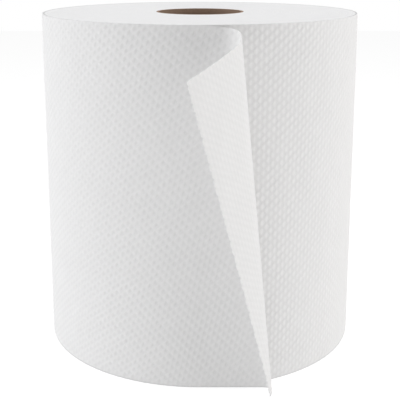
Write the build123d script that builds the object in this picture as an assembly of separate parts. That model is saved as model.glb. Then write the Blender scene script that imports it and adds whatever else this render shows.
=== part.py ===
from build123d import *
import math
import os

# A hardwound roll of white paper towel, standing on one end. The web is one long strip of
# embossed paper, wound on a board tube. Its last few centimetres hang loose at the front, and
# the free corner is curled back on itself. Millimetres, +Z up, the roll's axis on Z, the base
# at Z = 0 and the loose end at the front, towards -Y.

# Driving dimensions
web_width = 200.0           # width of the paper strip, which is the roll's height
roll_diameter = 190.5       # across the outermost turn
sheet = 0.4                 # one layer of the loose end, over its embossing
core_bore = 50.8            # inside of the board tube
core_wall = 1.3             # the tube's plies together

# The loose end, laid out flat: lengths run along the strip from the line where it leaves the
# roll, and heights run up from the base.
tail_bottom = 47.0          # free length at the base
tail_top = 91.2             # free length at the top: the end is cut at a slant
top_edge_slope = 5.2        # degrees by which the top edge runs down towards the free end

# The curl. Its straight rulings all pass through one apex below the base, so every bend is
# part of a round cone, tight at the bottom corner and wide at the top.
apex_drop = 86.0            # the apex, below the base
curl_start_bottom = 33.4    # where the bending starts, along the bottom edge
curl_start_top = 0.5        # and along the top edge
bends = [(1.8, 3.8), (2.9, 80.4), (5.0, 33.8), (12.0, 13.0)]    # degrees: fan of rulings, turn
corner_blunting = 0.1       # degrees of the fan by which the free corner is blunted

section_fan = 0.25          # degrees of the fan between two sections of the curl

roll_radius = roll_diameter / 2
core_radius = core_bore / 2 + core_wall
start_lean = (curl_start_bottom - curl_start_top) / web_width
apex_along = curl_start_bottom + start_lean * apex_drop


def spun(vector, axis, angle):
    """The vector, turned about the axis by an angle in radians."""
    return vector.rotate(Axis((0, 0, 0), axis), math.degrees(angle))


def bend_table():
    """Each bend's first ruling angle, its ruling, its normal into the roll and its curvature.

    A ruling angle is measured at the apex, in the flat sheet, from the upright.
    """
    angle = -math.atan(start_lean)
    ruling = Vector(math.sin(angle), 0, math.cos(angle))
    normal = Vector(0, 1, 0)
    table = []
    for fan, turn in bends:
        curvature = turn / fan
        table.append((angle, ruling, normal, curvature))
        axis = normal - ruling * curvature
        swing = math.radians(fan) * axis.length
        ruling = spun(ruling, axis, swing)
        normal = spun(normal, axis, swing)
        angle += math.radians(fan)
    return table


bend_list = bend_table()
apex = Vector(apex_along, -roll_radius, -apex_drop)


def curled_frame(angle):
    """Direction of a ruling, and the normal into the roll, once the end is curled."""
    direction = Vector(math.sin(angle), 0, math.cos(angle))
    inward = Vector(0, 1, 0)
    for start, ruling, normal, curvature in bend_list:
        if angle > start:
            axis = normal - ruling * curvature
            swing = (angle - start) * axis.length
            direction = spun(ruling, axis, swing)
            inward = spun(normal, axis, swing)
    return direction, inward


def reach_of_line(angle, point, direction):
    """Distance from the apex, along a ruling, to a line of the flat sheet."""
    across = (point[0] - apex_along) * direction[1] - (point[1] + apex_drop) * direction[0]
    return across / (math.sin(angle) * direction[1] - math.cos(angle) * direction[0])


droop = math.tan(math.radians(top_edge_slope))
free_corner = (tail_top, web_width - tail_top * droop)
cut_direction = (free_corner[0] - tail_bottom, free_corner[1])


def reach_of_top(angle):
    """Distance from the apex, along a ruling, to the top edge."""
    return reach_of_line(angle, (0, web_width), (1, -droop))


def reach_of_cut(angle):
    """Distance from the apex, along a ruling, to the slanted cut."""
    return reach_of_line(angle, (tail_bottom, 0), cut_direction)


def reach_of_base(angle, depth):
    """Distance from the apex, along a ruling, to the base, at a depth inside the sheet."""
    direction, inward = curled_frame(angle)
    return (apex_drop - inward.Z * depth) / direction.Z


def ruling_section(angle):
    """Outline of the paper's thickness along one ruling, from the cut or the base up."""
    direction, inward = curled_frame(angle)
    far = reach_of_top(angle)
    near = [max(reach_of_cut(angle), reach_of_base(angle, depth)) for depth in (0, sheet)]
    depth = inward * sheet
    low = apex + direction * near[0]
    high = apex + direction * far
    low_inside = apex + direction * near[1] + depth
    return Wire.make_polygon([low, high, high + depth, low_inside], close=True)


def low_corner_angle():
    """Ruling angle at which the cut meets the base, found by halving."""
    before = bend_list[0][0]
    after = free_corner_angle
    for _ in range(50):
        middle = (before + after) / 2
        if reach_of_cut(middle) < reach_of_base(middle, 0):
            before = middle
        else:
            after = middle
    return after


free_corner_angle = math.atan2(free_corner[0] - apex_along, free_corner[1] + apex_drop)


def section_angles(first, last):
    """Evenly spaced ruling angles from first to last."""
    count = math.ceil(math.degrees(last - first) / section_fan)
    return [first + (last - first) * i / count for i in range(count + 1)]


def lofted(first, last):
    """The curled sheet between two rulings."""
    return Solid.make_loft([ruling_section(angle) for angle in section_angles(first, last)])


def wound_section():
    """Outline of the wound strip: two half circles make a spiral that grows by one sheet."""
    front = -roll_radius
    under_tail = -(roll_radius - sheet)
    back = roll_radius - sheet / 2
    right_middle = (back + under_tail) / 2
    left_middle = (back + front) / 2
    right_radius = (back - under_tail) / 2
    left_radius = (back - front) / 2
    right = ThreePointArc((0, under_tail), (right_radius, right_middle), (0, back))
    left = ThreePointArc((0, back), (-left_radius, left_middle), (0, front))
    step = Line((0, front), (0, under_tail))
    return make_face(Wire([right, left, step])) - Circle(core_radius)


def flat_start():
    """The flat stretch of the loose end, from the roll to the first bent ruling."""
    first = bend_list[0][0]
    high = apex + curled_frame(first)[0] * reach_of_top(first)
    corners = [(0, 0), (curl_start_bottom, 0), (high.X, high.Z), (0, web_width)]
    front = Plane(origin=(0, -roll_radius, 0), x_dir=(1, 0, 0), z_dir=(0, -1, 0))
    return extrude(front * make_face(Polyline(corners, close=True)), amount=-sheet)


def loose_end():
    """The curled free end, from the roll to the blunted free corner, level with the base."""
    first = bend_list[0][0]
    middle = low_corner_angle()
    last = free_corner_angle - math.radians(corner_blunting)
    return flat_start() + lofted(first, middle) + lofted(middle, last)


def paper_roll():
    """Every turn of the strip and its loose end, which are one piece of paper."""
    wound = extrude(wound_section(), amount=web_width, dir=(0, 0, 1))
    return wound + loose_end()


def core():
    """The board tube that the strip is wound on, as long as the strip is wide."""
    ring = Circle(core_radius) - Circle(core_bore / 2)
    return extrude(ring, amount=web_width)


os.makedirs("parts", exist_ok=True)
export_step(paper_roll(), "parts/paper_roll.step")
export_step(core(), "parts/core.step")
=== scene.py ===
# %% [markdown]
# # A roll of embossed paper towel
#
# A hardwound towel roll is two things: one very long strip of white embossed paper, and the
# board tube that it is wound on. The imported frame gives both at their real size, standing on
# end. Here each gets its finish: the paper gets its rows of raised dots, its torn edge and
# its wound ends, and the tube gets its spiral plies.

# %% Load the frame
import math

import bpy
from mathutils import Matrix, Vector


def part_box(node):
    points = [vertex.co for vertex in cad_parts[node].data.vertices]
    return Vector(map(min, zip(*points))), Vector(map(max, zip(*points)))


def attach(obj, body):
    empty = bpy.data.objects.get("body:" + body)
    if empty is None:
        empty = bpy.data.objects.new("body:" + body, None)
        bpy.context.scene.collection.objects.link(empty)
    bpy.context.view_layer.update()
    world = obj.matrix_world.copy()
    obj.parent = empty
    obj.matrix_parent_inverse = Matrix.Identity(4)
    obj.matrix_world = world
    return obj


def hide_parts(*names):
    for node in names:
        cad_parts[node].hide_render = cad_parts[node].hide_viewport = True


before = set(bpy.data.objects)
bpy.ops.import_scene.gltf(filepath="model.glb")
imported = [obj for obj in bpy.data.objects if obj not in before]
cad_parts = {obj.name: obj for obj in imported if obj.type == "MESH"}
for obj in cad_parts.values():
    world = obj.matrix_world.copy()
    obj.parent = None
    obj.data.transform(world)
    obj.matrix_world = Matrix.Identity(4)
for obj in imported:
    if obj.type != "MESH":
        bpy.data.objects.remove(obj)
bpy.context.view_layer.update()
print("packed pieces:", sorted(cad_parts))

# %% [markdown]
# The sizes come from the frame where it has them. The box of the tube gives the radius that
# the paper is wound on. The back of the roll is half a sheet inside the outermost turn,
# because the winding steps in by one sheet on each turn.

# %% Sizes of the roll
MM = 0.001
sheet = 0.4 * MM
board_wall = 1.3 * MM
roll_low, roll_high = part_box("paper_roll")
core_low, core_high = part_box("core")
web_width = roll_high.z - roll_low.z
roll_radius = roll_high.y + sheet / 2
core_radius = core_high.x
core_bore_radius = core_radius - board_wall
turn_length = 2 * math.pi * roll_radius
print(f"roll {2 * roll_radius / MM:.1f} mm across, {web_width / MM:.1f} mm tall")

# %% [markdown]
# The loose end is laid out flat first, as if it had never been curled. Its cut edge is a
# slanted line, and its top edge runs down a little towards the free corner. The curl bends
# it over straight lines, called rulings, that all meet in one apex below the base. Paper
# can't stretch, and a surface bent in this way doesn't ask it to.

# %% Sizes of the loose end
tail_bottom = 47.0 * MM
tail_top = 91.2 * MM
top_droop = math.tan(math.radians(5.2))
cut_slope = (tail_top - tail_bottom) / (web_width - tail_top * top_droop)
apex_drop = 86.0 * MM
curl_start_bottom = 33.4 * MM
curl_start_top = 0.5 * MM
start_lean = (curl_start_bottom - curl_start_top) / web_width
apex_along = curl_start_bottom + start_lean * apex_drop
first_ruling = -math.atan(start_lean)
bends = [(1.8, 3.8), (2.9, 80.4), (5.0, 33.8), (12.0, 13.0)]

# %% [markdown]
# The paper is embossed with small raised dots in staggered columns. The mesh follows them:
# a dot takes four steps of the grid each way, with its neighbour half a pitch further on, so
# every dot has a vertex on its top and a ring of vertices round its foot.

# %% Pitch of the embossing
steps_per_dot = 4
column_step = 1.333 * MM
row_step = 1.163 * MM
columns = round((turn_length + tail_bottom) / column_step)
rows = round(web_width / row_step)
share_at_top = turn_length / (turn_length + tail_bottom + web_width * cut_slope)
root_column = math.floor(columns * share_at_top)
print(f"grid of {columns} by {rows}, the loose end from column {root_column}")

# %% [markdown]
# ## Helpers for node trees
#
# Geometry nodes and shader nodes are built with the same few lines. A value given to a node
# may be a plain number or the output of another node, and `feed` tells them apart.

# %% Node helpers
def feed(tree, socket, value):
    """Links an output to the socket, or sets the socket to a plain value."""
    if isinstance(value, bpy.types.NodeSocket):
        tree.links.new(value, socket)
    else:
        socket.default_value = value


def add(tree, kind, inputs=None, **settings):
    """A new node, with its settings and its inputs."""
    node = tree.nodes.new(kind)
    for name, value in settings.items():
        setattr(node, name, value)
    for key, value in (inputs or {}).items():
        feed(tree, node.inputs[key], value)
    return node


def calc(tree, operation, *values):
    """One step of arithmetic on numbers."""
    node = add(tree, "ShaderNodeMath", operation=operation)
    for socket, value in zip(node.inputs, values):
        feed(tree, socket, value)
    return node.outputs[0]


def vector(tree, x=0.0, y=0.0, z=0.0):
    """A vector from three numbers."""
    return add(tree, "ShaderNodeCombineXYZ", {"X": x, "Y": y, "Z": z}).outputs[0]


def vector_calc(tree, operation, *values, output=0):
    """One step of arithmetic on vectors."""
    node = add(tree, "ShaderNodeVectorMath", operation=operation)
    for socket, value in zip(node.inputs, values):
        feed(tree, socket, value)
    return node.outputs[output]


def split(tree, value):
    """The X, Y and Z of a vector."""
    return add(tree, "ShaderNodeSeparateXYZ", {0: value}).outputs


def scaled(tree, value, factor):
    """A vector or a colour, multiplied by a number."""
    return add(tree, "ShaderNodeVectorMath", {0: value, "Scale": factor},
               operation="SCALE").outputs[0]


def rotated(tree, value, axis, angle):
    """A vector, turned about an axis."""
    return add(tree, "ShaderNodeVectorRotate",
               {"Vector": value, "Center": (0.0, 0.0, 0.0), "Axis": axis, "Angle": angle},
               rotation_type="AXIS_ANGLE").outputs[0]


def blend(tree, share, first, second):
    """A vector that lies some share of the way from the first to the second."""
    return add(tree, "ShaderNodeMix", {0: share, 4: first, 5: second},
               data_type="VECTOR").outputs[1]


def ramp(tree, value, low, high, at_low=0.0, at_high=1.0, **settings):
    """A number that runs from at_low to at_high while the value runs from low to high."""
    return add(tree, "ShaderNodeMapRange",
               {"Value": value, "From Min": low, "From Max": high, "To Min": at_low,
                "To Max": at_high}, **settings).outputs["Result"]


# %% Node groups
SOCKETS = {"float": "NodeSocketFloat", "vector": "NodeSocketVector", "int": "NodeSocketInt",
           "mesh": "NodeSocketGeometry", "material": "NodeSocketMaterial"}


def new_group(name, kind, inputs, outputs):
    """An empty node group with named inputs and outputs, given as (name, socket, value)."""
    tree = bpy.data.node_groups.new(name, kind)
    for label, socket, value in inputs:
        made = tree.interface.new_socket(label, in_out="INPUT", socket_type=SOCKETS[socket])
        if value is not None:
            made.default_value = value
    for label, socket in outputs:
        tree.interface.new_socket(label, in_out="OUTPUT", socket_type=SOCKETS[socket])
    given = tree.nodes.new("NodeGroupInput").outputs
    result = tree.nodes.new("NodeGroupOutput").inputs
    return tree, given, result


def use(tree, group, inputs):
    """A node that places a group in a tree, with its inputs."""
    kind = "ShaderNodeGroup" if tree.type == "SHADER" else "GeometryNodeGroup"
    node = tree.nodes.new(kind)
    node.node_tree = group
    for key, value in inputs.items():
        feed(tree, node.inputs[key], value)
    return node.outputs

# %% [markdown]
# ## Laying out the flat strip
#
# The first group turns a column and a row of the grid into a place on the flat strip: how far
# along it lies from the line where the loose end leaves the roll, and how high. Columns start
# upright under the loose end and lean over little by little, until the last one lies along
# the slanted cut. The cut follows the embossing, so it comes out finely scalloped, with two
# scallops to a dot, and its corner is a little rounded. With each column away from the cut the
# scallops fade to the share given here, and the rounding fades with each row from the top
# too. A second wave, out of step with the dots, makes the scallops a little uneven.

# %% Shape of the cut
scallop_fade = 0.55
corner_fade = 0.35
uneven_pace = 0.61
uneven_share = 0.5
scallop_depth = math.log(0.1) / math.log(scallop_fade)
print(f"a scallop is down to a tenth of its size after {scallop_depth:.1f} columns")

# %% Group: flat strip
def make_layout():
    tree, given, result = new_group(
        "Flat strip", "GeometryNodeTree",
        [("Column", "float", 0.0), ("Row", "float", 0.0), ("Columns", "float", 1.0),
         ("Rows", "float", 1.0), ("Turn Length", "float", 0.6), ("Web Width", "float", 0.2),
         ("Tail Bottom", "float", 0.05), ("Cut Slope", "float", 0.2),
         ("Top Droop", "float", 0.1), ("Scallop", "float", 0.0003),
         ("Corner", "float", 0.0015)],
        [("Along", "float"), ("Height", "float")])
    share = calc(tree, "DIVIDE", given["Column"], given["Columns"])
    level = calc(tree, "DIVIDE", given["Row"], given["Rows"])
    length = calc(tree, "ADD", given["Turn Length"], given["Tail Bottom"])
    foot = calc(tree, "SUBTRACT", calc(tree, "MULTIPLY", share, length), given["Turn Length"])
    lean = calc(tree, "MULTIPLY", share, given["Cut Slope"])
    plain = calc(tree, "MULTIPLY", level, given["Web Width"])
    loose = calc(tree, "GREATER_THAN", calc(tree, "MULTIPLY_ADD", lean, plain, foot), 0.0)
    fall = calc(tree, "MULTIPLY", given["Top Droop"], foot)
    drooped = calc(tree, "MULTIPLY", level, calc(tree, "SUBTRACT", given["Web Width"], fall))
    share_of_droop = calc(tree, "MULTIPLY", level, calc(tree, "MULTIPLY", given["Top Droop"], lean))
    drooped = calc(tree, "DIVIDE", drooped, calc(tree, "ADD", share_of_droop, 1.0))
    change = calc(tree, "SUBTRACT", drooped, plain)
    height = calc(tree, "MULTIPLY_ADD", change, loose, plain)
    along = calc(tree, "MULTIPLY_ADD", lean, height, foot)
    from_cut = calc(tree, "SUBTRACT", given["Columns"], given["Column"])
    nearness = calc(tree, "POWER", scallop_fade, from_cut)
    wave = calc(tree, "COSINE", calc(tree, "MULTIPLY", given["Row"], math.pi))
    uneven = calc(tree, "SINE", calc(tree, "MULTIPLY", given["Row"], uneven_pace))
    ragged = calc(tree, "MULTIPLY_ADD", uneven, uneven_share, wave)
    scallop = calc(tree, "MULTIPLY", calc(tree, "MULTIPLY", ragged, given["Scallop"]), nearness)
    from_top = calc(tree, "SUBTRACT", given["Rows"], given["Row"])
    corner = calc(tree, "MULTIPLY", calc(tree, "POWER", corner_fade, from_top), given["Corner"])
    corner = calc(tree, "MULTIPLY", corner, nearness)
    along = calc(tree, "SUBTRACT", calc(tree, "SUBTRACT", along, scallop), corner)
    feed(tree, result["Along"], along)
    feed(tree, result["Height"], height)
    return tree


flat_strip = make_layout()
print(f"{flat_strip.name}: {len(flat_strip.nodes)} nodes")

# %% [markdown]
# ## Curling the loose end
#
# A bend is a turn about an axis through the apex. The axis lies between the ruling and the
# normal of the paper, and how far it leans from the normal is the curvature of the bend. A
# point that lies past a bend gets its full turn, and a point inside it gets a share.

# %% Group: cone bend
def make_cone_bend():
    tree, given, result = new_group(
        "Cone bend", "GeometryNodeTree",
        [("Vector", "vector", None), ("Angle", "float", 0.0), ("Start", "float", 0.0),
         ("Fan", "float", 0.1), ("Curvature", "float", 0.0), ("Ruling", "vector", None)],
        [("Vector", "vector")])
    inside = calc(tree, "SUBTRACT", given["Angle"], given["Start"])
    inside = calc(tree, "MINIMUM", calc(tree, "MAXIMUM", inside, 0.0), given["Fan"])
    tilt = scaled(tree, given["Ruling"], given["Curvature"])
    axis = vector_calc(tree, "SUBTRACT", (0.0, 1.0, 0.0), tilt)
    size = vector_calc(tree, "LENGTH", axis, output="Value")
    swing = calc(tree, "MULTIPLY", inside, size)
    feed(tree, result["Vector"], rotated(tree, given["Vector"], axis, swing))
    return tree


cone_bend = make_cone_bend()
print(f"{cone_bend.name}: {len(cone_bend.nodes)} nodes")

# %% [markdown]
# The next group is the whole rule for the paper. Left of the root line the strip is wound:
# the distance along it becomes an angle round the roll, and each turn steps in by one sheet.
# Right of the root line the flat place is seen from the apex, as an angle and a reach, and
# the bends are applied, the last one first. `Lift` moves a point off the paper, outwards.
# A lower limit keeps every point level with the table or above it. It has to leave the other
# two directions alone, so there it is `beyond`, further away than anything here.

# %% Strip to roll: the wound stretch
def wound_place(tree, given):
    """Place of a point on the wound strip."""
    turn = calc(tree, "DIVIDE", calc(tree, "MULTIPLY", given["Along"], -1.0), given["Roll Radius"])
    inset = calc(tree, "MULTIPLY", calc(tree, "DIVIDE", turn, 2 * math.pi), given["Sheet"])
    radius = calc(tree, "SUBTRACT", calc(tree, "ADD", given["Roll Radius"], given["Lift"]), inset)
    outward = calc(tree, "MULTIPLY", radius, -1.0)
    return vector(tree, calc(tree, "MULTIPLY", outward, calc(tree, "SINE", turn)),
                  calc(tree, "MULTIPLY", outward, calc(tree, "COSINE", turn)), given["Height"])


# %% Strip to roll: the bends
def bent(tree, given, angle, ruling, reach):
    """The arm from the apex to a point, and the paper's normal there, after every bend."""
    arm = scaled(tree, ruling, reach)
    inward = vector(tree, 0.0, 1.0, 0.0)
    starts = [given["First Ruling"]]
    for fan, _ in bends[:-1]:
        starts.append(calc(tree, "ADD", starts[-1], math.radians(fan)))
    for start, (fan, turn) in reversed(list(zip(starts, bends))):
        sizes = {"Angle": angle, "Start": start, "Fan": math.radians(fan),
                 "Curvature": turn / fan, "Ruling": ruling}
        arm = use(tree, cone_bend, {"Vector": arm, **sizes})[0]
        inward = use(tree, cone_bend, {"Vector": inward, **sizes})[0]
    return arm, inward


# %% Strip to roll: the loose end
beyond = 10.0


def curled_place(tree, given):
    """Place of a point on the loose end."""
    across = calc(tree, "SUBTRACT", given["Along"], given["Apex Along"])
    up = calc(tree, "ADD", given["Height"], given["Apex Drop"])
    angle = calc(tree, "ARCTAN2", across, up)
    reach = calc(tree, "SQRT", calc(tree, "ADD", calc(tree, "MULTIPLY", across, across),
                                    calc(tree, "MULTIPLY", up, up)))
    ruling = vector(tree, calc(tree, "SINE", given["First Ruling"]), 0.0,
                    calc(tree, "COSINE", given["First Ruling"]))
    arm, inward = bent(tree, given, angle, ruling, reach)
    before = calc(tree, "MINIMUM", calc(tree, "SUBTRACT", angle, given["First Ruling"]), 0.0)
    flat = rotated(tree, arm, (0.0, 1.0, 0.0), before)
    apex = vector(tree, given["Apex Along"], calc(tree, "MULTIPLY", given["Roll Radius"], -1.0),
                  calc(tree, "MULTIPLY", given["Apex Drop"], -1.0))
    curled = vector_calc(tree, "ADD", flat, apex)
    curled = vector_calc(tree, "SUBTRACT", curled, scaled(tree, inward, given["Lift"]))
    return vector_calc(tree, "MAXIMUM", curled, (-beyond, -beyond, 0.0))


# %% Group: strip to roll
def make_strip_to_roll():
    tree, given, result = new_group(
        "Strip to roll", "GeometryNodeTree",
        [("Along", "float", 0.0), ("Height", "float", 0.0), ("Lift", "float", 0.0),
         ("Roll Radius", "float", 0.1), ("Sheet", "float", 0.0004),
         ("Apex Along", "float", 0.05), ("Apex Drop", "float", 0.08),
         ("First Ruling", "float", -0.1)],
        [("Position", "vector")])
    loose = calc(tree, "GREATER_THAN", given["Along"], 0.0)
    place = blend(tree, loose, wound_place(tree, given), curled_place(tree, given))
    feed(tree, result["Position"], place)
    return tree


strip_to_roll = make_strip_to_roll()
print(f"{strip_to_roll.name}: {len(strip_to_roll.nodes)} nodes")

# %% [markdown]
# ## The raised dots
#
# Two cosines multiplied give a staggered lattice of tops and hollows. A third, twice as fast
# along the strip, lifts the columns a little, which makes the dots tall and narrow like
# grains of rice. Tops stand at full height and hollows are shallower, as where a steel roller
# presses paper into rubber. `Dot Shape` is how much of the third wave there is.

# %% Group: raised dots
hollow_depth = 0.7


def make_dots():
    tree, given, result = new_group(
        "Raised dots", "GeometryNodeTree",
        [("Column", "float", 0.0), ("Row", "float", 0.0), ("Dot Height", "float", 0.0002),
         ("Dot Shape", "float", 0.15)],
        [("Lift", "float")])
    step_angle = 2 * math.pi / steps_per_dot
    waves = [calc(tree, "COSINE", calc(tree, "MULTIPLY", given[key], step_angle))
             for key in ("Column", "Row")]
    column_wave = calc(tree, "COSINE", calc(tree, "MULTIPLY", given["Column"], 2 * step_angle))
    wave = calc(tree, "MULTIPLY_ADD", column_wave, given["Dot Shape"],
                calc(tree, "MULTIPLY", *waves))
    relief = calc(tree, "MAXIMUM", wave, calc(tree, "MULTIPLY", wave, hollow_depth))
    feed(tree, result["Lift"], calc(tree, "MULTIPLY", relief, given["Dot Height"]))
    return tree


raised_dots = make_dots()
print(f"{raised_dots.name}: {len(raised_dots.nodes)} nodes")

# %% [markdown]
# ## Sewing the strip together
#
# The outline of the roll, seen from above, is one closed line: once round the outermost turn,
# out along the loose end, round its cut edge and back along its inner side. Each stretch is
# a grid whose points carry their column and row. The ends of the roll are grids too, that run
# from the outline to the tube, and the last step welds all their shared points. Each square
# of a grid is split so that no split runs into the top of a dot, which keeps the dots even.

# %% Group: numbered grid
def make_numbered_grid():
    tree, given, result = new_group(
        "Numbered grid", "GeometryNodeTree",
        [("First", "int", 0), ("Last", "int", 10), ("Lines", "int", 10)],
        [("Mesh", "mesh"), ("Column", "float"), ("Row", "float")])
    steps = calc(tree, "SUBTRACT", given["Last"], given["First"])
    grid = add(tree, "GeometryNodeMeshGrid", {"Size X": steps, "Size Y": given["Lines"],
               "Vertices X": calc(tree, "ADD", steps, 1.0),
               "Vertices Y": calc(tree, "ADD", given["Lines"], 1.0)})
    place = split(tree, add(tree, "GeometryNodeInputPosition").outputs[0])
    middle = calc(tree, "MULTIPLY", calc(tree, "ADD", given["First"], given["Last"]), 0.5)
    feed(tree, result["Mesh"], grid.outputs["Mesh"])
    feed(tree, result["Column"], calc(tree, "ADD", place["X"], middle))
    feed(tree, result["Row"], calc(tree, "MULTIPLY_ADD", given["Lines"], 0.5, place["Y"]))
    return tree


numbered_grid = make_numbered_grid()
print(f"{numbered_grid.name}: {len(numbered_grid.nodes)} nodes")

# %% [markdown]
# The tree's sizes are its named inputs, so each can be changed by hand later. What is not a
# size of the roll itself is the relief: the height of the dots, how ragged the cut is, how
# round its corner is, and how deep the rings of the wound end lie.

# %% Paper: inputs of the tree
ROLL_INPUTS = [
    ("Columns", "int", columns), ("Rows", "int", rows), ("Root Column", "int", root_column),
    ("Turn Length", "float", turn_length), ("Web Width", "float", web_width),
    ("Roll Radius", "float", roll_radius), ("Core Radius", "float", core_radius),
    ("Sheet", "float", sheet), ("Dot Height", "float", 0.26 * MM),
    ("Tail Bottom", "float", tail_bottom), ("Cut Slope", "float", cut_slope),
    ("Top Droop", "float", top_droop), ("Scallop", "float", 0.45 * MM),
    ("Corner", "float", 0.9 * MM), ("Apex Along", "float", apex_along),
    ("Apex Drop", "float", apex_drop), ("First Ruling", "float", first_ruling),
    ("End Rings", "int", 8), ("End Relief", "float", 0.3 * MM),
    ("Side Paper", "material", None), ("End Paper", "material", None),
]


print("the tree has", len(ROLL_INPUTS), "inputs")

# %% [markdown]
# Every point of the sheet's two sides goes through the same three groups: the flat strip gives
# its place, the dots give its lift, and the last group winds or curls it. The inner side lies
# one sheet deeper, and it starts where the outer side leaves the roll. The dots fade out
# where each side starts, and on the paper's long edges only `edge_dots` of them is left.

# %% Paper: one point
edge_dots = 0.3


def paper_point(tree, given, column, row, side):
    """Place of a grid point on the outer side (0) or the inner side (1)."""
    flat = use(tree, flat_strip, {"Column": column, "Row": row, **{key: given[key] for key in (
        "Columns", "Rows", "Turn Length", "Web Width", "Tail Bottom", "Cut Slope",
        "Top Droop", "Scallop", "Corner")}})
    inner = calc(tree, "GREATER_THAN", side, 0.5)
    side_start = calc(tree, "MULTIPLY_ADD", inner, beyond, -beyond)
    kept = calc(tree, "MAXIMUM", flat["Along"], side_start)
    dots = use(tree, raised_dots, {"Column": column, "Row": row,
                                   "Dot Height": given["Dot Height"]})[0]
    out_fade = calc(tree, "MINIMUM", column, 1.0)
    in_fade = calc(tree, "MINIMUM", calc(tree, "DIVIDE", kept, 2 * column_step), 1.0)
    fade_change = calc(tree, "SUBTRACT", in_fade, out_fade)
    fade = calc(tree, "MULTIPLY_ADD", fade_change, inner, out_fade)
    from_rim = calc(tree, "MINIMUM", row, calc(tree, "SUBTRACT", given["Rows"], row))
    rise = calc(tree, "MULTIPLY_ADD", from_rim, 1.0 - edge_dots, edge_dots)
    fade = calc(tree, "MULTIPLY", fade, calc(tree, "MINIMUM", rise, 1.0))
    lift = calc(tree, "MULTIPLY", dots, fade)
    lift = calc(tree, "SUBTRACT", lift, calc(tree, "MULTIPLY", inner, given["Sheet"]))
    return use(tree, strip_to_roll, {"Along": kept, "Height": flat["Height"], "Lift": lift,
               **{key: given[key] for key in ("Roll Radius", "Sheet", "Apex Along",
                                              "Apex Drop", "First Ruling")}})["Position"]


# %% Paper: a grid in its place
def placed_grid(tree, grid, position, column, row, material, flip):
    """A numbered grid, with its lattice kept as a UV map, moved into place."""
    cell = calc(tree, "ADD", calc(tree, "FLOOR", column), calc(tree, "FLOOR", row))
    grid = add(tree, "GeometryNodeTriangulate",
               {"Mesh": grid, "Selection": calc(tree, "MODULO", cell, 2.0)},
               quad_method="FIXED").outputs[0]
    grid = add(tree, "GeometryNodeTriangulate", {"Mesh": grid},
               quad_method="FIXED_ALTERNATE").outputs[0]
    lattice = vector(tree, calc(tree, "MULTIPLY", column, 1 / steps_per_dot),
                     calc(tree, "MULTIPLY", row, 1 / steps_per_dot))
    mapped = add(tree, "GeometryNodeStoreNamedAttribute",
                 {"Geometry": grid, "Name": "lattice", "Value": lattice},
                 data_type="FLOAT2", domain="CORNER")
    moved = add(tree, "GeometryNodeSetPosition",
                {"Geometry": mapped.outputs[0], "Position": position})
    mesh = moved.outputs[0]
    if flip:
        mesh = add(tree, "GeometryNodeFlipFaces", {"Mesh": mesh}).outputs[0]
    return add(tree, "GeometryNodeSetMaterial",
               {"Geometry": mesh, "Material": material}).outputs[0]


# %% Paper: sides of the sheet and its edges
def sheet_side(tree, given, first, side):
    """The outer or the inner side of the strip, from a first column to the cut edge."""
    grid = use(tree, numbered_grid, {"First": first, "Last": given["Columns"],
                                     "Lines": given["Rows"]})
    place = paper_point(tree, given, grid["Column"], grid["Row"], float(side))
    return placed_grid(tree, grid["Mesh"], place, grid["Column"], grid["Row"],
                       given["Side Paper"], side == 1)


def cut_edge(tree, given):
    """The thickness of the paper along the slanted cut."""
    grid = use(tree, numbered_grid, {"First": 0, "Last": 1, "Lines": given["Rows"]})
    place = paper_point(tree, given, given["Columns"], grid["Row"], grid["Column"])
    return placed_grid(tree, grid["Mesh"], place, given["Columns"], grid["Row"],
                       given["Side Paper"], False)


def loose_rim(tree, given, level, flip):
    """The thickness of the paper along the top or the bottom of the loose end."""
    grid = use(tree, numbered_grid, {"First": given["Root Column"], "Last": given["Columns"],
                                     "Lines": 1})
    place = paper_point(tree, given, grid["Column"], level, grid["Row"])
    return placed_grid(tree, grid["Mesh"], place, grid["Column"], level,
                       given["Side Paper"], flip)


# %% [markdown]
# The top and the bottom of the roll are flat discs of paper edges with the tube's hole in
# them. Their rim is the paper's own outline, so they fit it exactly. Inside its rim the top
# gets a few rings, each a little lower than the rim by its own amount, because no roll is
# wound quite level.

# %% Paper: once round the roll
def ring_grid(tree, given, lines):
    """A grid whose columns go once round the roll, and the number of its last column."""
    closing = calc(tree, "ADD", given["Root Column"], 1.0)
    return use(tree, numbered_grid, {"First": 0, "Last": closing, "Lines": lines}), closing


def innermost(tree, given, column, closing, height):
    """A place on the paper's innermost turn, which lies on the tube."""
    angle = calc(tree, "MULTIPLY", calc(tree, "DIVIDE", column, closing), 2 * math.pi)
    back = calc(tree, "MULTIPLY", given["Core Radius"], -1.0)
    return vector(tree, calc(tree, "MULTIPLY", given["Core Radius"], calc(tree, "SINE", angle)),
                  calc(tree, "MULTIPLY", back, calc(tree, "COSINE", angle)), height)


# %% Paper: wound ends
ring_seed = 5
level_margin = 0.01


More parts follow.
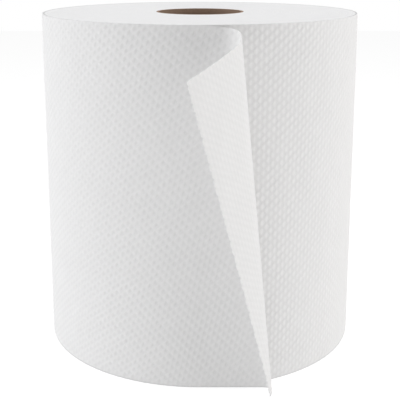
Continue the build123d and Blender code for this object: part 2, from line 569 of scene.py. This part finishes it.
def wound_end(tree, given, level, rings, relief, flip):
    """One end of the roll, from the outline to the tube, in a number of rings."""
    grid, closing = ring_grid(tree, given, rings)
    column = calc(tree, "MODULO", grid["Column"], closing)
    rim = paper_point(tree, given, column, level, 0.0)
    bore = innermost(tree, given, grid["Column"], closing, split(tree, rim)["Z"])
    share = calc(tree, "DIVIDE", grid["Row"], rings)
    place = blend(tree, share, rim, bore)
    ring_noise = add(tree, "FunctionNodeRandomValue", {"ID": calc(tree, "ROUND", grid["Row"]),
                     "Seed": ring_seed}, data_type="FLOAT")
    between = calc(tree, "MULTIPLY", share, calc(tree, "SUBTRACT", 1.0, share))
    inside = calc(tree, "GREATER_THAN", between, level_margin)
    step = calc(tree, "MULTIPLY", calc(tree, "MULTIPLY", ring_noise.outputs["Value"], relief), inside)
    lowered = vector_calc(tree, "SUBTRACT", place, vector(tree, 0.0, 0.0, step))
    return placed_grid(tree, grid["Mesh"], lowered, grid["Column"], grid["Row"],
                       given["End Paper"], flip)


# %% Paper: innermost turn
def tube_side(tree, given):
    """The paper's innermost turn, hidden behind the tube."""
    grid, closing = ring_grid(tree, given, 1)
    place = innermost(tree, given, grid["Column"], closing,
                      calc(tree, "MULTIPLY", grid["Row"], given["Web Width"]))
    return placed_grid(tree, grid["Mesh"], place, grid["Column"], grid["Row"],
                       given["Side Paper"], True)


# %% [markdown]
# Both trees end in the same way. Points that touch are welded, the mesh is shaded smooth
# except over its sharp edges, and the result is made real.

# %% Helper: the end of a tree
sharp_angle = math.radians(50)


def sewn(tree, mesh, distance):
    """A mesh whose grids are welded where their points lie within a distance."""
    welded = add(tree, "GeometryNodeMergeByDistance", {"Geometry": mesh, "Distance": distance})
    smooth = add(tree, "GeometryNodeSetShadeSmooth", {"Geometry": welded.outputs[0]},
                 domain="FACE")
    corner = add(tree, "GeometryNodeInputMeshEdgeAngle").outputs[0]
    sharp = add(tree, "GeometryNodeSetShadeSmooth",
                {"Geometry": smooth.outputs[0], "Shade Smooth": False,
                 "Selection": calc(tree, "GREATER_THAN", corner, sharp_angle)}, domain="EDGE")
    return add(tree, "GeometryNodeRealizeInstances", {"Geometry": sharp.outputs[0]}).outputs[0]


# %% Paper: the tree
def make_roll_tree():
    tree, given, result = new_group("Wound towel", "GeometryNodeTree", ROLL_INPUTS,
                                    [("Mesh", "mesh")])
    parts = [
        sheet_side(tree, given, 0, 0),
        sheet_side(tree, given, given["Root Column"], 1),
        cut_edge(tree, given),
        loose_rim(tree, given, given["Rows"], False),
        loose_rim(tree, given, 0.0, True),
        wound_end(tree, given, given["Rows"], given["End Rings"], given["End Relief"], False),
        wound_end(tree, given, 0.0, 1, 0.0, True),
        tube_side(tree, given),
    ]
    joined = add(tree, "GeometryNodeJoinGeometry")
    for part in reversed(parts):
        feed(tree, joined.inputs[0], part)
    feed(tree, result["Mesh"], sewn(tree, joined.outputs[0], 0.004 * MM))
    return tree


roll_tree = make_roll_tree()
print(f"{roll_tree.name}: {len(roll_tree.nodes)} nodes")

# %% [markdown]
# A tree is only a recipe. To get a piece that can be exported, the tree is run once on an
# empty mesh, and its result is copied into a plain mesh with no modifier left on it. Empty
# material slots at the front of its list are taken out.

# %% Helper: from tree to plain mesh
def grow(name, tree, values):
    """Runs a tree on an empty mesh and keeps what it makes as a plain mesh object."""
    seed = bpy.data.objects.new(name + "_seed", bpy.data.meshes.new(name + "_seed"))
    bpy.context.scene.collection.objects.link(seed)
    modifier = seed.modifiers.new("shape", "NODES")
    modifier.node_group = tree
    for item in tree.interface.items_tree:
        if item.in_out == "INPUT" and item.name in values:
            modifier[item.identifier] = values[item.name]
    graph = bpy.context.evaluated_depsgraph_get()
    mesh = bpy.data.meshes.new_from_object(seed.evaluated_get(graph), depsgraph=graph)
    mesh.name = name
    while mesh.materials[0] is None:
        mesh.materials.pop(index=0)
    made = bpy.data.objects.new(name, mesh)
    bpy.context.scene.collection.objects.link(made)
    bpy.data.objects.remove(seed)
    mesh.calc_loop_triangles()
    print(f"{name}: {len(mesh.vertices)} vertices, {len(mesh.loop_triangles)} triangles")
    return made

# %% [markdown]
# ## Finishes
#
# Paper is a felt of fibres. Looked at closely it is never one white: it is mottled where the
# fibres lie thicker, and its surface is slightly rough. One shader group makes that mottle,
# and the paper, the wound ends and the board of the tube all use it at their own scale. It
# adds wide clouds to a fine grain.

# %% Shader group: fibre mottle
cloud_pace = 0.06
cloud_weight = 0.8


def make_fibre_mottle():
    tree, given, result = new_group(
        "Fibre mottle", "ShaderNodeTree",
        [("Place", "vector", None), ("Scale", "float", 900.0), ("Stretch", "vector", None),
         ("Contrast", "float", 0.05)],
        [("Tone", "float"), ("Height", "float")])
    stretched = vector_calc(tree, "MULTIPLY", given["Place"], given["Stretch"])
    fine = add(tree, "ShaderNodeTexNoise", {"Vector": stretched, "Scale": given["Scale"],
               "Detail": 3.0, "Roughness": 0.6})
    cloud_scale = calc(tree, "MULTIPLY", given["Scale"], cloud_pace)
    cloud = add(tree, "ShaderNodeTexNoise", {"Vector": stretched, "Scale": cloud_scale,
                "Detail": 2.0})
    mixed = calc(tree, "MULTIPLY_ADD", cloud.outputs["Fac"], cloud_weight, fine.outputs["Fac"])
    centred = calc(tree, "SUBTRACT", mixed, (1.0 + cloud_weight) / 2)
    feed(tree, result["Tone"], calc(tree, "MULTIPLY_ADD", centred, given["Contrast"], 1.0))
    feed(tree, result["Height"], fine.outputs["Fac"])
    return tree


fibre_mottle = make_fibre_mottle()
print(f"{fibre_mottle.name}: {len(fibre_mottle.nodes)} nodes")

# %% Helper: a new material
def new_material(name, roughness):
    """A material, with its node tree and its main shader."""
    material = bpy.data.materials.new(name)
    material.use_nodes = True
    shader = material.node_tree.nodes["Principled BSDF"]
    shader.inputs["Roughness"].default_value = roughness
    shader.inputs["Specular IOR Level"].default_value = 0.3
    return material, material.node_tree, shader


def bumped(tree, shader, height, distance):
    """Gives a shader its relief."""
    bump = add(tree, "ShaderNodeBump", {"Height": height, "Distance": distance})
    feed(tree, shader.inputs["Normal"], bump.outputs["Normal"])

# %% [markdown]
# The embossed paper reads its lattice from the UV map that the tree stored, so the finish
# follows the sheet round the roll and over the curl. In the lattice one unit is a whole dot.
# Two slanted waves cross in the dots and a third runs down between their columns. They
# round each dot more than the mesh can, and paint shade and light into the colour: the
# pressed paper beside each dot is darker and the dot tops a little lighter.
# Along the bottom edge that the roll stands on, a painted contact shadow greys the paper a little.

# %% Material: embossed paper
dot_bump = 0.15 * MM


def make_embossed_paper():
    material, tree, shader = new_material("embossed_white_paper", 0.9)
    lattice = add(tree, "ShaderNodeUVMap", uv_map="lattice").outputs[0]
    part = split(tree, lattice)
    rising, falling = [
        calc(tree, "COSINE", calc(tree, "MULTIPLY", 2 * math.pi,
                                  calc(tree, operation, part["X"], part["Y"])))
        for operation in ("SUBTRACT", "ADD")]
    dots = calc(tree, "MULTIPLY_ADD", falling, 0.25, calc(tree, "MULTIPLY", rising, 0.6))
    stripe = calc(tree, "SINE", calc(tree, "MULTIPLY", part["X"], 4 * math.pi))
    cell = calc(tree, "MULTIPLY_ADD", stripe, 0.5, dots)
    dot = ramp(tree, cell, -0.9, 0.9, interpolation_type="SMOOTHSTEP")
    # Painted shade and light: the pressed paper round each dot is darker and its top a little
    # lighter.
    foot = ramp(tree, cell, -1.0, 1.0, 0.964, 1.012)
    place = add(tree, "ShaderNodeTexCoord").outputs["Object"]
    fibres = use(tree, fibre_mottle, {"Place": place, "Scale": 1600.0,
                                      "Stretch": (1.0, 1.0, 0.6), "Contrast": 0.05})
    # Painted contact shadow: the paper turns a little grey within about a millimetre of the base.
    painted_base_shadow = ramp(tree, split(tree, place)["Z"], 0.2 * MM, 1.2 * MM, 0.86, 1.0)
    tone = calc(tree, "MULTIPLY", calc(tree, "MULTIPLY", fibres["Tone"], foot), painted_base_shadow)
    feed(tree, shader.inputs["Base Color"], scaled(tree, (0.836, 0.832, 0.830), tone))
    relief = calc(tree, "MULTIPLY_ADD", fibres["Height"], 0.35, dot)
    bumped(tree, shader, relief, dot_bump)
    return material


embossed_paper = make_embossed_paper()
print("finish:", embossed_paper.name)

# %% [markdown]
# The ends of the roll show the edges of hundreds of turns. They read as fine rings that are
# never quite even: some turns stand a hair proud, and the pack is a little tighter in some
# bands. The outermost turns lie loose, with a thin shadow about a millimetre inside the rim.

# %% Shader group: wound turns
def make_wound_turns():
    tree, given, result = new_group(
        "Wound turns", "ShaderNodeTree",
        [("Place", "vector", None), ("Pitch", "float", 0.001), ("Unevenness", "float", 0.3)],
        [("Tone", "float"), ("Height", "float"), ("Radius", "float")])
    part = split(tree, given["Place"])
    flat = vector(tree, part["X"], part["Y"], 0.0)
    radius = vector_calc(tree, "LENGTH", flat, output="Value")
    sway = add(tree, "ShaderNodeTexNoise", {"Vector": flat, "Scale": 25.0, "Detail": 2.0})
    swayed = calc(tree, "MULTIPLY_ADD", sway.outputs["Fac"], given["Unevenness"],
                  calc(tree, "DIVIDE", radius, given["Pitch"]))
    line = add(tree, "ShaderNodeTexNoise", {"W": swayed, "Scale": 1.0, "Detail": 3.0,
               "Roughness": 0.7}, noise_dimensions="1D")
    broken = add(tree, "ShaderNodeTexNoise", {"Vector": flat, "Scale": 220.0, "Detail": 1.0})
    mixed = calc(tree, "MULTIPLY", line.outputs["Fac"],
                 calc(tree, "MULTIPLY_ADD", broken.outputs["Fac"], 0.5, 0.75))
    feed(tree, result["Tone"], calc(tree, "MULTIPLY_ADD", mixed, 0.22, 0.895))
    feed(tree, result["Height"], mixed)
    feed(tree, result["Radius"], radius)
    return tree


wound_turns = make_wound_turns()
print(f"{wound_turns.name}: {len(wound_turns.nodes)} nodes")

# %% Material: wound ends
loose_turns = 1.1 * MM


def make_wound_ends():
    material, tree, shader = new_material("wound_paper_edges", 0.95)
    place = add(tree, "ShaderNodeTexCoord").outputs["Object"]
    turns = use(tree, wound_turns, {"Place": place, "Pitch": 0.7 * MM, "Unevenness": 2.0})
    fibres = use(tree, fibre_mottle, {"Place": place, "Scale": 1200.0,
                                      "Stretch": (1.0, 1.0, 1.0), "Contrast": 0.03})
    from_rim = calc(tree, "SUBTRACT", roll_radius, turns["Radius"])
    off_gap = calc(tree, "ABSOLUTE", calc(tree, "SUBTRACT", from_rim, loose_turns))
    gap = ramp(tree, off_gap, 0.1 * MM, 0.55 * MM, 0.64, 1.0)
    tone = calc(tree, "MULTIPLY", calc(tree, "MULTIPLY", turns["Tone"], fibres["Tone"]), gap)
    feed(tree, shader.inputs["Base Color"], scaled(tree, (0.87, 0.87, 0.875), tone))
    relief = calc(tree, "MULTIPLY_ADD", fibres["Height"], 0.2, turns["Height"])
    bumped(tree, shader, relief, 0.25 * MM)
    return material


wound_ends = make_wound_ends()
print("finish:", wound_ends.name)

# %% [markdown]
# Now the paper can be grown in one go. The piece stands for the imported roll of paper and
# belongs to the one body that the roll has.

# %% Make the paper
wound_towel = grow("wound_towel", roll_tree,
                   {"Side Paper": embossed_paper, "End Paper": wound_ends})
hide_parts("paper_roll")
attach(wound_towel, "root")

# %% [markdown]
# ## The board tube
#
# The tube is wound too, from strips of brown board that run round it in a screw line. Where
# the edges of the innermost strip meet there is a fine groove in the bore. The grid of the
# tube is sheared so that one of its lines follows that screw line, and the groove is simply a
# line of points that lie deeper. The grid's rows go up the outside, over the top and down the
# bore, and its last row falls on its first, which closes the wall at the bottom.

# %% Tube: the twist of its plies
tube_strips = 96
ply_angle = math.radians(35)
climb_of_turn = 2 * math.pi * core_bore_radius * math.tan(ply_angle)
tube_twist = 2 * math.pi * web_width / climb_of_turn
print(f"the tube's inner strip turns {tube_twist / (2 * math.pi):.2f} times on its way up")

# %% Tube: the tree
def make_tube_tree():
    tree, given, result = new_group(
        "Board tube", "GeometryNodeTree",
        [("Outer Radius", "float", core_radius), ("Bore Radius", "float", core_bore_radius),
         ("Length", "float", web_width), ("Twist", "float", tube_twist),
         ("Strips", "int", tube_strips), ("Levels", "int", 60),
         ("Seam Depth", "float", 0.18 * MM), ("Board", "material", None)],
        [("Mesh", "mesh")])
    lines = calc(tree, "MULTIPLY_ADD", given["Levels"], 2.0, 2.0)
    grid = use(tree, numbered_grid, {"First": 0, "Last": given["Strips"], "Lines": lines})
    row = calc(tree, "MODULO", calc(tree, "ROUND", grid["Row"]), lines)
    inner_side = calc(tree, "GREATER_THAN", row, calc(tree, "ADD", given["Levels"], 0.5))
    outer_level = calc(tree, "MINIMUM", row, given["Levels"])
    back_level = calc(tree, "SUBTRACT", calc(tree, "SUBTRACT", lines, 1.0), row)
    change = calc(tree, "SUBTRACT", back_level, outer_level)
    level = calc(tree, "DIVIDE", calc(tree, "MULTIPLY_ADD", change, inner_side, outer_level),
                 given["Levels"])
    angle = calc(tree, "MULTIPLY", grid["Column"], 2 * math.pi)
    angle = calc(tree, "DIVIDE", angle, given["Strips"])
    angle = calc(tree, "MULTIPLY_ADD", level, given["Twist"], angle)
    seam = calc(tree, "LESS_THAN", calc(tree, "MODULO", grid["Column"], given["Strips"]), 0.5)
    wall = calc(tree, "SUBTRACT", given["Bore Radius"], given["Outer Radius"])
    radius = calc(tree, "MULTIPLY_ADD", wall, inner_side, given["Outer Radius"])
    groove = calc(tree, "MULTIPLY", calc(tree, "MULTIPLY", seam, given["Seam Depth"]), inner_side)
    radius = calc(tree, "ADD", radius, groove)
    place = vector(tree, calc(tree, "MULTIPLY", radius, calc(tree, "COSINE", angle)),
                   calc(tree, "MULTIPLY", radius, calc(tree, "SINE", angle)),
                   calc(tree, "MULTIPLY", level, given["Length"]))
    body = placed_grid(tree, grid["Mesh"], place, grid["Column"], grid["Row"],
                       given["Board"], False)
    feed(tree, result["Mesh"], sewn(tree, body, 0.01 * MM))
    return tree


tube_tree = make_tube_tree()
print(f"{tube_tree.name}: {len(tube_tree.nodes)} nodes")

# %% [markdown]
# Brown board is recycled paper: the same mottle as the white paper, but coarse and strong,
# and drawn out along the tube. On its cut ends the plies show as thin rings.

# %% Material: brown board
ply_pitch = 0.45 * MM


def make_brown_board():
    material, tree, shader = new_material("brown_tube_board", 0.85)
    place = add(tree, "ShaderNodeTexCoord").outputs["Object"]
    fibres = use(tree, fibre_mottle, {"Place": place, "Scale": 700.0,
                                      "Stretch": (1.0, 1.0, 0.35), "Contrast": 0.35})
    part = split(tree, place)
    flat = vector(tree, part["X"], part["Y"], 0.0)
    depth = calc(tree, "SUBTRACT", core_radius, vector_calc(tree, "LENGTH", flat, output="Value"))
    plies = calc(tree, "SINE", calc(tree, "MULTIPLY", depth, 2 * math.pi / ply_pitch))
    tone = calc(tree, "MULTIPLY", fibres["Tone"], calc(tree, "MULTIPLY_ADD", plies, 0.04, 0.98))
    feed(tree, shader.inputs["Base Color"], scaled(tree, (0.33, 0.23, 0.165), tone))
    bumped(tree, shader, fibres["Height"], 0.12 * MM)
    return material

# %% Make the tube
board_tube = grow("board_tube", tube_tree, {"Board": make_brown_board()})
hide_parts("core")
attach(board_tube, "root")

# %% [markdown]
# ## Studio
#
# The roll stands on a wide white table in a white room. Two large soft lamps stand left and
# right of it, so the sides are bright and the front, which looks past them, is a shade
# darker. That shading is what makes a white cylinder read as round. A third lamp hangs above
# and lights the wound end. The table glows white, as the room does, so that it hardly shows
# where the one ends and the other begins. Half of the table is glow and half is paint, and
# where it is seen the glow takes three quarters.

# %% Floor
WHITE = (1.0, 1.0, 1.0, 1.0)
table_glow = 1.15
glowing_share = 0.5
more_when_seen = 0.25


def seen(tree):
    """One for what the camera sees, straight or in a reflection, and nought for other light."""
    paths = add(tree, "ShaderNodeLightPath")
    return calc(tree, "MAXIMUM", paths.outputs["Is Camera Ray"], paths.outputs["Is Glossy Ray"])


def make_floor():
    half = 2.0
    level = -0.2 * MM
    corners = [(-half, -half, level), (half, -half, level), (half, half, level),
               (-half, half, level)]
    mesh = bpy.data.meshes.new("table")
    mesh.from_pydata(corners, [], [(0, 1, 2, 3)])
    floor = bpy.data.objects.new("table", mesh)
    bpy.context.scene.collection.objects.link(floor)
    material, tree, shader = new_material("white_table", 0.9)
    shader.inputs["Base Color"].default_value = (0.95, 0.95, 0.95, 1.0)
    white = add(tree, "ShaderNodeEmission", {"Color": WHITE, "Strength": table_glow})
    share = calc(tree, "MULTIPLY_ADD", seen(tree), more_when_seen, glowing_share)
    mix = add(tree, "ShaderNodeMixShader", {0: share, 1: shader.outputs[0], 2: white.outputs[0]})
    feed(tree, tree.nodes["Material Output"].inputs["Surface"], mix.outputs[0])
    mesh.materials.append(material)


make_floor()

# %% [markdown]
# The room is white to the eye and in reflections, but its light on the roll is weak, so that
# the lamps can shape it.

# %% Room light
def make_room(strength):
    world = bpy.data.worlds.new("white_room")
    bpy.context.scene.world = world
    world.use_nodes = True
    tree = world.node_tree
    tree.nodes.clear()
    ambient = add(tree, "ShaderNodeBackground", {"Color": WHITE, "Strength": strength})
    white = add(tree, "ShaderNodeBackground", {"Color": WHITE, "Strength": 1.0})
    mix = add(tree, "ShaderNodeMixShader",
              {0: seen(tree), 1: ambient.outputs[0], 2: white.outputs[0]})
    output = add(tree, "ShaderNodeOutputWorld")
    feed(tree, output.inputs["Surface"], mix.outputs[0])


make_room(0.34)

# %% Lamps
roll_middle = (core_low + core_high) / 2
lamp_size = 0.9


def add_lamp(name, place, power, colour):
    """A square soft lamp that faces the middle of the roll."""
    data = bpy.data.lights.new(name, "AREA")
    data.shape = "SQUARE"
    data.size = lamp_size
    data.energy = power
    data.color = colour
    lamp = bpy.data.objects.new(name, data)
    bpy.context.scene.collection.objects.link(lamp)
    lamp.location = place
    lamp.visible_camera = False
    aim = roll_middle - lamp.location
    lamp.rotation_euler = aim.to_track_quat("-Z", "Y").to_euler()


add_lamp("left_lamp", (-1.3, -0.25, 0.35), 8.0, (0.97, 0.98, 1.0))
add_lamp("right_lamp", (1.3, -0.25, 0.35), 7.4, (1.0, 0.985, 0.975))
add_lamp("top_lamp", (0.0, 0.0, 1.3), 7.3, (1.0, 1.0, 1.0))

# %% [markdown]
# ## Camera
#
# The eye stands a little above the roll and looks down at its front. The lens is lowered a
# little against the sensor, as the front of a view camera can be, so that the eye tilts down
# less and the sides of the roll lean in less.

# %% Camera and colour
look_down = 0.2199
camera_data = bpy.data.cameras.new("front_camera")
camera_data.lens = 77.5
camera_data.sensor_width = 36.0
camera_data.shift_y = -0.15
camera = bpy.data.objects.new("front_camera", camera_data)
bpy.context.scene.collection.objects.link(camera)
camera.location = (0.0, -0.5315, 0.2381)
camera.rotation_euler = (math.pi / 2 - look_down, 0.0, 0.0)
bpy.context.scene.camera = camera
bpy.context.scene.view_settings.view_transform = "Standard"

# %% [markdown]
# ## Sizes
#
# The finished pieces have to fill the same box as the imported model.

# %% Update the scene
bpy.context.view_layer.update()
